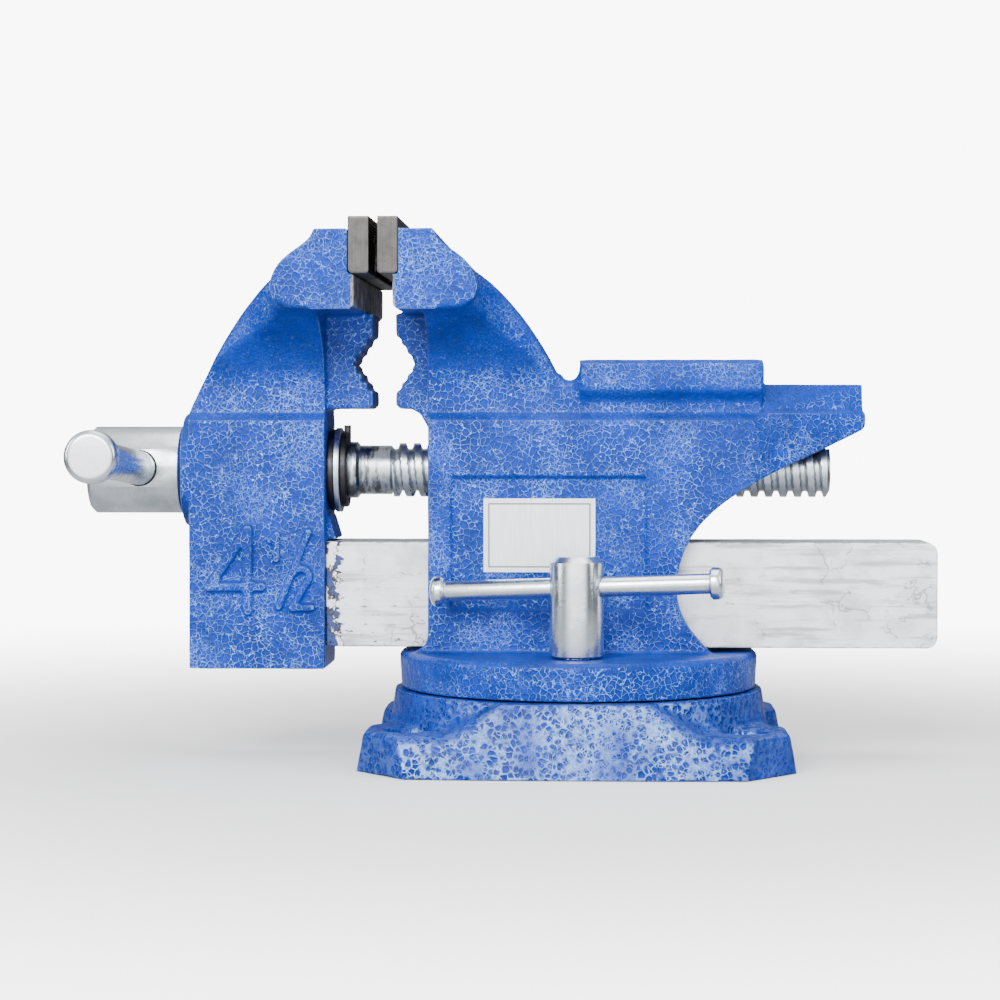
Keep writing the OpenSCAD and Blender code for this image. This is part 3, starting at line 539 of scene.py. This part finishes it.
bar = sand_cast("slide_bar", "slide_bar_painted", 2, 0.16 * MM, 12 * MM)
bar_low, bar_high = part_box("slide_bar")
bar_paint = silver_bar_paint(bar_low, bar_high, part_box("spacer_ring")[0][0])
stands_for(bar, "slide_bar", "sliding_jaw", bar_paint)

# ---- Lead screw ----
# Turned from one steel bar and zinc plated: a thick head drilled across for the handle, a plain
# journal that runs in the front jaw, a groove for the retaining ring, and a coarse rolled thread.

THREAD_PITCH = 5.08 * MM
THREAD_MAJOR = 9.55 * MM
THREAD_ROOT = 7.5 * MM
JOURNAL_BEHIND_RING = 16.3 * MM
THREAD_OVERLAP = 0.4 * MM
GRIME_REACH = 26 * MM


def zinc(name, tint=1.0, rough=0.24, streak_axis=0, grime=None):
    """Bright zinc plating: bluish, a little cloudy, over the marks of the lathe. grime gives the
    two places along X between which oily dirt has gathered."""
    material, tree, shader, place = new_material(name)
    squeeze = [900.0, 900.0, 900.0]
    squeeze[streak_axis] = 4200.0
    turned = noise_node(tree, stretched(tree, place, *squeeze), 1.0, 2.0)
    cloud = ramp_node(tree, noise_node(tree, place, 130.0, 4.0, 0.6), 0.3, 0.7)
    bright = tuple(tint * c for c in (0.74, 0.79, 0.83)) + (1.0,)
    dull = tuple(tint * c for c in (0.52, 0.58, 0.62)) + (1.0,)
    shade = mix_colour(tree, cloud, bright, dull)
    spots = ramp_node(tree, noise_node(tree, place, 900.0, 3.0, 0.6), 0.66, 0.72)
    spotted = mix_colour(tree, math_node(tree, "MULTIPLY", spots, 0.35), shade, (0.22, 0.24, 0.27, 1.0))
    if grime:
        along = add_node(tree, "ShaderNodeSeparateXYZ", {0: place}).outputs["X"]
        dirt = noise_node(tree, stretched(tree, place, 420.0, 120.0, 120.0), 1.0, 5.0, 0.7)
        reach = ramp_node(tree, along, grime[0], grime[1], 0.42, 0.66)
        behind_ring = ramp_node(tree, along, grime[0] - 1 * MM, grime[0])
        dirt_mask = math_node(tree, "MULTIPLY", behind_ring, ramp_node(
            tree, math_node(tree, "SUBTRACT", dirt, reach), -0.05, 0.10))
        spotted = mix_colour(tree, math_node(tree, "MULTIPLY", dirt_mask, 0.8), spotted,
                             (0.05, 0.055, 0.06, 1.0))
    tree.links.new(spotted, shader.inputs["Base Color"])
    shader.inputs["Metallic"].default_value = 1.0
    tree.links.new(ramp_node(tree, cloud, 0.0, 1.0, rough, rough + 0.12), shader.inputs["Roughness"])
    bump(tree, shader, turned, 0.02 * MM)
    return material


ring_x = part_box("retaining_ring")[1][0]
screw_zinc = zinc("plated screw", 0.80, 0.26, 0, grime=(ring_x, ring_x + GRIME_REACH))


def thread_mesh(start, end, centre_z):
    """A right-hand trapezoid thread along X, closed at both ends."""
    around = 72
    steps = int((end - start) / THREAD_PITCH * 16)
    angles = np.arange(around) * 2 * math.pi / around
    places = np.linspace(start, end, steps + 1)
    phase = (places[:, None] / THREAD_PITCH - angles[None, :] / (2 * math.pi)) % 1.0
    crest = np.clip((0.5 - np.abs(phase - 0.5) - 0.14) / 0.13, 0, 1)
    run_out = np.clip((end - places) / (1.2 * MM), 0, 1)[:, None]
    radius = THREAD_ROOT + (THREAD_MAJOR - THREAD_ROOT) * crest * run_out
    x = np.repeat(places[:, None], around, axis=1)
    y = radius * np.cos(angles)
    z = centre_z + radius * np.sin(angles)
    verts = np.stack([x, y, z], axis=-1).reshape(-1, 3).tolist()
    faces = []
    for row in range(steps):
        for a in range(around):
            b = (a + 1) % around
            faces.append((row * around + a, row * around + b, (row + 1) * around + b, (row + 1) * around + a))
    last = steps * around
    faces.append(tuple(range(around - 1, -1, -1)))
    faces.append(tuple(last + a for a in range(around)))
    mesh = bpy.data.meshes.new("thread")
    mesh.from_pydata(verts, [], faces)
    return mesh


screw_low, screw_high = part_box("lead_screw")
screw_z = (screw_low[2] + screw_high[2]) / 2
thread_start = ring_x + JOURNAL_BEHIND_RING
shank = copy_of("lead_screw", "lead_screw_turned")
shape = bmesh.new()
shape.from_mesh(shank.data)
bmesh.ops.bisect_plane(shape, geom=shape.verts[:] + shape.edges[:] + shape.faces[:],
                       plane_co=(thread_start + THREAD_OVERLAP, 0, 0), plane_no=(1, 0, 0), clear_outer=True)
bmesh.ops.holes_fill(shape, edges=[e for e in shape.edges if e.is_boundary])
shape.to_mesh(shank.data)
shape.free()
broken = shank.modifiers.new("broken edges", "BEVEL")
broken.width = 0.35 * MM
broken.segments = 3
broken.limit_method = "ANGLE"
broken.angle_limit = math.radians(35)
shank_mesh = bake_modifiers(shank)
joined = bmesh.new()
joined.from_mesh(shank_mesh)
joined.from_mesh(thread_mesh(thread_start, screw_high[0], screw_z))
joined.to_mesh(shank_mesh)
joined.free()
shank_mesh.shade_smooth()
shank_mesh.set_sharp_from_angle(angle=math.radians(38))
stands_for(shank, "lead_screw", "screw", screw_zinc)

# ---- Spacer, washer and retaining ring ----
# They sit on the journal behind the front jaw and pull the jaw back when the screw is undone: a
# dark spacer, a bright pressed washer and a sprung black ring with an ear.

machined("spacer_ring", "spacer_ring_dark", "screw", black_steel)
machined("thrust_washer", "thrust_washer_bright", "screw", screw_zinc)
machined("retaining_ring", "retaining_ring_sprung", "screw", black_steel)

# ---- Handle ----
# A drawn steel rod that slides in the screw's head, with a turned knob pressed on each end.
# All three are zinc plated.

handle_zinc = zinc("plated handle", 1.0, 0.20, 1)
machined("handle_bar", "handle_rod", "handle", handle_zinc)
machined("handle_knob_near", "handle_knob_1", "handle", handle_zinc, 0.2 * MM)
machined("handle_knob_far", "handle_knob_2", "handle", handle_zinc, 0.2 * MM)

# ---- Swivel lock ----
# A tall turned nut on the lock bolt, tightened with a thin rod through it. It clamps the swivel
# plate down on the base. The rod has a small knob on each end, and all of it is zinc plated.

nut_zinc = zinc("plated nut", 1.0, 0.18, 2)
machined("lock_nut", "lock_nut_turned", "nut", nut_zinc, 0.4 * MM)
machined("lock_bar", "lock_rod", "nut_bar", handle_zinc)
machined("lock_bar_knob_left", "lock_rod_knob_1", "nut_bar", handle_zinc, 0.2 * MM)
machined("lock_bar_knob_right", "lock_rod_knob_2", "nut_bar", handle_zinc, 0.2 * MM)

# ---- Bolts and washers under the deck ----
# The pivot bolt that the vise turns on, and the lock bolt that runs in the curved slot, each
# with a flat washer under its head. They are bought parts, zinc plated.

for node in ("pivot_bolt", "pivot_washer", "lock_bolt", "lock_washer"):
    machined(node, node + "_plated", "swivel", nut_zinc)

# ---- Parts inside the castings ----
# The spindle nut is a turned iron bush in the body, held by a set screw. Two pins hold the
# slide bar's tenon in the front jaw.

nut_iron = steel("turned iron", (0.16, 0.16, 0.165, 1.0), 0.45, 0, 0.35)
machined("spindle_nut", "spindle_nut_turned", "swivel", nut_iron)
machined("nut_set_screw", "nut_set_screw_black", "swivel", black_steel)
machined("slide_bar_pins", "slide_bar_pins_plated", "sliding_jaw", nut_zinc)

# ---- Label plate ----
# A thin foil label stuck in the body's sunk panel, silver with a plain printed border. It has
# lifted a little at one corner.


def foil_material(low, high):
    """Brushed silver foil. The border is printed a set distance inside the edge."""
    material, tree, shader, place = new_material("printed foil")
    split = add_node(tree, "ShaderNodeSeparateXYZ", {0: place})
    inset = []
    for output, axis in (("X", 0), ("Z", 2)):
        middle = (low[axis] + high[axis]) / 2
        off = math_node(tree, "ABSOLUTE", math_node(tree, "SUBTRACT", split.outputs[output], middle))
        inset.append(math_node(tree, "SUBTRACT", (high[axis] - low[axis]) / 2, off))
    edge = math_node(tree, "MINIMUM", inset[0], inset[1])
    band = math_node(tree, "MULTIPLY", ramp_node(tree, edge, 1.5 * MM, 1.6 * MM),
                     ramp_node(tree, edge, 2.1 * MM, 2.2 * MM, 1.0, 0.0))
    brushed = noise_node(tree, stretched(tree, place, 2600.0, 2600.0, 90.0), 1.0, 3.0)
    foil = mix_colour(tree, ramp_node(tree, brushed, 0.3, 0.7),
                      (0.88, 0.90, 0.93, 1.0), (0.76, 0.78, 0.81, 1.0))
    tree.links.new(mix_colour(tree, math_node(tree, "MULTIPLY", band, 0.8), foil, (0.05, 0.06, 0.09, 1.0)),
                   shader.inputs["Base Color"])
    shader.inputs["Metallic"].default_value = 0.25
    tree.links.new(ramp_node(tree, brushed, 0.0, 1.0, 0.32, 0.48), shader.inputs["Roughness"])
    bump(tree, shader, brushed, 0.01 * MM)
    return material


label_low, label_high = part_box("label_plate")


def label_mesh(low, high):
    """A thin sheet that bows slightly within the room the label has."""
    across, up = 48, 32
    room = high[1] - low[1]
    sheet = 0.18 * MM
    verts = []
    for back in (0, 1):
        for j in range(up + 1):
            for i in range(across + 1):
                u, v = i / across, j / up
                corner = max(0.0, u + (1 - v) - 1.45) / 0.55
                wave = 0.06 * math.sin(5 * u + 3 * v) + 0.06
                lift = (room - sheet) * min(1.0, wave + 0.85 * corner ** 1.5)
                y = high[1] - lift - (0 if back else sheet)
                verts.append((low[0] + (high[0] - low[0]) * u, y, low[2] + (high[2] - low[2]) * v))
    row = across + 1
    layer = row * (up + 1)
    faces = []
    for j in range(up):
        for i in range(across):
            a = j * row + i
            faces.append((a, a + 1, a + row + 1, a + row))
            faces.append((layer + a, layer + a + row, layer + a + row + 1, layer + a + 1))
    rim = (list(range(across + 1)) + [j * row + across for j in range(1, up + 1)]
           + [up * row + i for i in range(across - 1, -1, -1)] + [j * row for j in range(up - 1, 0, -1)])
    for a, b in zip(rim, rim[1:] + rim[:1]):
        faces.append((b, a, layer + a, layer + b))
    mesh = bpy.data.meshes.new("label")
    mesh.from_pydata(verts, [], faces)
    mesh.shade_smooth()
    mesh.set_sharp_from_angle(angle=math.radians(40))
    return mesh


label = add_piece("foil_label", label_mesh(label_low, label_high))
stands_for(label, "label_plate", "swivel", foil_material(label_low, label_high))

# ---- Studio ----
# A pale floor that runs out to a pale surround, soft boxes in front, above and at the sides, and
# a camera that stands in front of the vise a little above the lead screw.


def add_floor():
    """A plain matt sheet, which thins out into the white surround away from the vise."""
    reach = 1.6
    corners = [(-reach, -reach, 0), (reach, -reach, 0), (reach, reach, 0), (-reach, reach, 0)]
    mesh = bpy.data.meshes.new("floor")
    mesh.from_pydata(corners, [], [(0, 1, 2, 3)])
    floor = add_piece("floor", mesh)
    material, tree, shader, place = new_material("pale floor")
    tone = mix_colour(tree, noise_node(tree, place, 9.0, 3.0),
                      (0.92, 0.92, 0.92, 1.0), (0.88, 0.88, 0.89, 1.0))
    bounced = mix_colour(tree, tree.nodes.new("ShaderNodeLightPath").outputs["Is Camera Ray"],
                         (0.40, 0.40, 0.41, 1.0), tone)
    tree.links.new(bounced, shader.inputs["Base Color"])
    shader.inputs["Roughness"].default_value = 0.8
    out_from_middle = add_node(tree, "ShaderNodeVectorMath", {0: place}, operation="LENGTH").outputs["Value"]
    tree.links.new(ramp_node(tree, out_from_middle, 0.16, 0.75, 1.0, 0.0), shader.inputs["Alpha"])
    mesh.materials.append(material)


def add_soft_box(name, place, aim, width, height, power):
    """A rectangular soft light at place, turned to aim."""
    light = bpy.data.lights.new(name, "AREA")
    light.shape = "RECTANGLE"
    light.size = width
    light.size_y = height
    light.energy = power
    lamp = bpy.data.objects.new(name, light)
    lamp.location = place
    lamp.rotation_euler = (Vector(aim) - Vector(place)).to_track_quat("-Z", "Y").to_euler()
    bpy.context.scene.collection.objects.link(lamp)


add_floor()
middle = (0.0, 0.0, 0.09)
add_soft_box("front box", (-0.45, -1.5, 0.95), middle, 1.1, 0.7, 40.0)
add_soft_box("top box", (0.1, 0.0, 1.5), middle, 1.2, 1.0, 12.0)
add_soft_box("left box", (-1.5, -0.5, 0.6), middle, 0.4, 1.0, 11.0)
add_soft_box("right box", (1.5, -0.6, 0.7), middle, 0.4, 1.0, 9.0)

world = bpy.data.worlds.new("studio")
bpy.context.scene.world = world
world.use_nodes = True
sky = world.node_tree
background = sky.nodes["Background"]
seen = sky.nodes.new("ShaderNodeLightPath").outputs["Is Camera Ray"]
looked_at = sky.nodes.new("ShaderNodeTexCoord").outputs["Generated"]
way = add_node(sky, "ShaderNodeSeparateXYZ", {0: looked_at}).outputs
overhead = mix_colour(sky, ramp_node(sky, way["Z"], 0.05, 0.75),
                      (0.09, 0.10, 0.11, 1.0), (1.3, 1.3, 1.3, 1.0))
around = mix_colour(sky, ramp_node(sky, way["Y"], -0.93, -0.62, 1.0, 0.0), overhead, (3.6, 3.63, 3.66, 1.0))
sky.links.new(mix_colour(sky, seen, around, (9.0, 9.0, 9.0, 1.0)), background.inputs["Color"])
background.inputs["Strength"].default_value = 1.0

CAMERA_PLACE = (0.0137, -0.950, 0.1165)
CAMERA_AIM = (-0.0278, 0.0, 0.0906)
camera_data = bpy.data.cameras.new("camera")
camera_data.sensor_width = 36.0
camera_data.lens = 96.4
camera = bpy.data.objects.new("camera", camera_data)
camera.location = CAMERA_PLACE
camera.rotation_euler = (Vector(CAMERA_AIM) - Vector(CAMERA_PLACE)).to_track_quat("-Z", "Y").to_euler()
bpy.context.scene.collection.objects.link(camera)
bpy.context.scene.camera = camera
